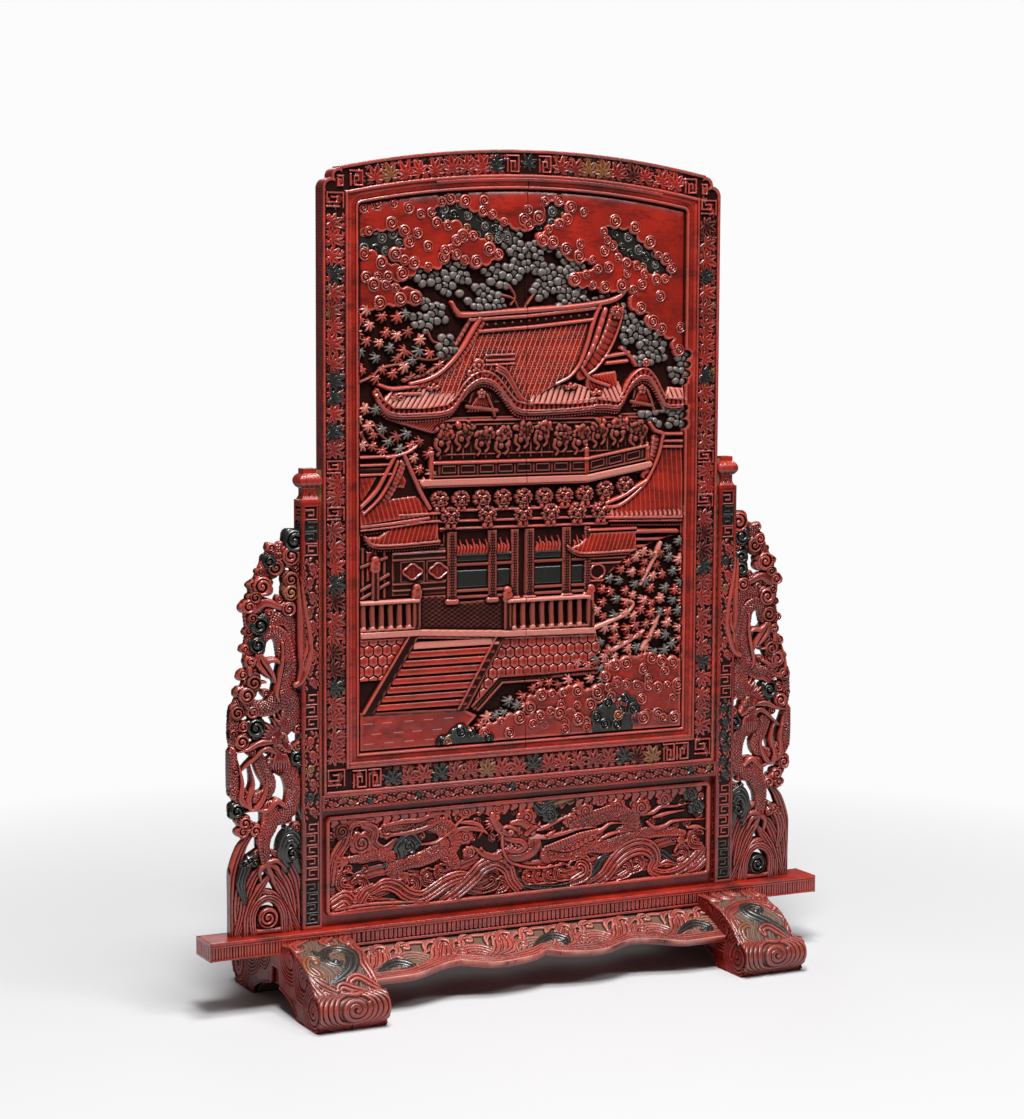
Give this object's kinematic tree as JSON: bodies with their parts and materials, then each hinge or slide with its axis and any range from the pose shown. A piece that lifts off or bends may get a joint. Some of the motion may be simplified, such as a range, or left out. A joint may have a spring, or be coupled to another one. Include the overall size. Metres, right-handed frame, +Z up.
{
  "type": "table screen",
  "caption": "Carved lacquer table screen: an arched framed picture lifts out of a stand with grooved posts, dragon brackets, scroll feet and sloped aprons.",
  "frame": {"origin": "on the floor, under the middle of the stand", "axes": "+X to the right as seen from the front, +Y towards the back, +Z up"},
  "size_m": [0.659, 0.2238, 0.8],
  "materials": {
    "red_lacquer": "plain red lacquer, satin, worn on the edges",
    "carved_lacquer": "carved red lacquer with dark green and ochre accents on a dark ground",
    "wave_lacquer": "carved red lacquer worn to a grey brown in the hollows",
    "dragon_lacquer": "openwork red lacquer with dark green clouds",
    "picture_lacquer": "deeply carved red lacquer with grey black pines and brown ground",
    "back_lacquer": "dark red lacquer, satin",
    "bare_wood": "unfinished wood"
  },
  "bodies": {
    "stand": {"left_foot": "wave_lacquer", "right_foot": "wave_lacquer", "base_bar": "red_lacquer", "front_apron": "wave_lacquer", "rear_apron": "wave_lacquer", "left_post": "carved_lacquer", "right_post": "carved_lacquer", "left_post_cap": "carved_lacquer", "right_post_cap": "carved_lacquer", "middle_rail": "carved_lacquer", "dragon_panel": "carved_lacquer", "left_spandrel": "dragon_lacquer", "right_spandrel": "dragon_lacquer", "spandrel_dowels": "bare_wood", "tenon_pins": "bare_wood"},
    "screen": {"left_stile": "carved_lacquer", "right_stile": "carved_lacquer", "top_rail": "carved_lacquer", "bottom_rail": "carved_lacquer", "left_board": "picture_lacquer", "right_board": "picture_lacquer", "board_spline": "bare_wood", "back_panel": "back_lacquer", "left_bead": "red_lacquer", "right_bead": "red_lacquer", "top_bead": "red_lacquer", "bottom_bead": "red_lacquer", "left_guide": "bare_wood", "right_guide": "bare_wood", "frame_pins": "bare_wood"}
  },
  "joints": [
    {"name": "screen_lift", "type": "slide", "parent": "stand", "child": "screen", "axis": [0, 0, 1], "range_m": [0, 0.31]}
  ]
}
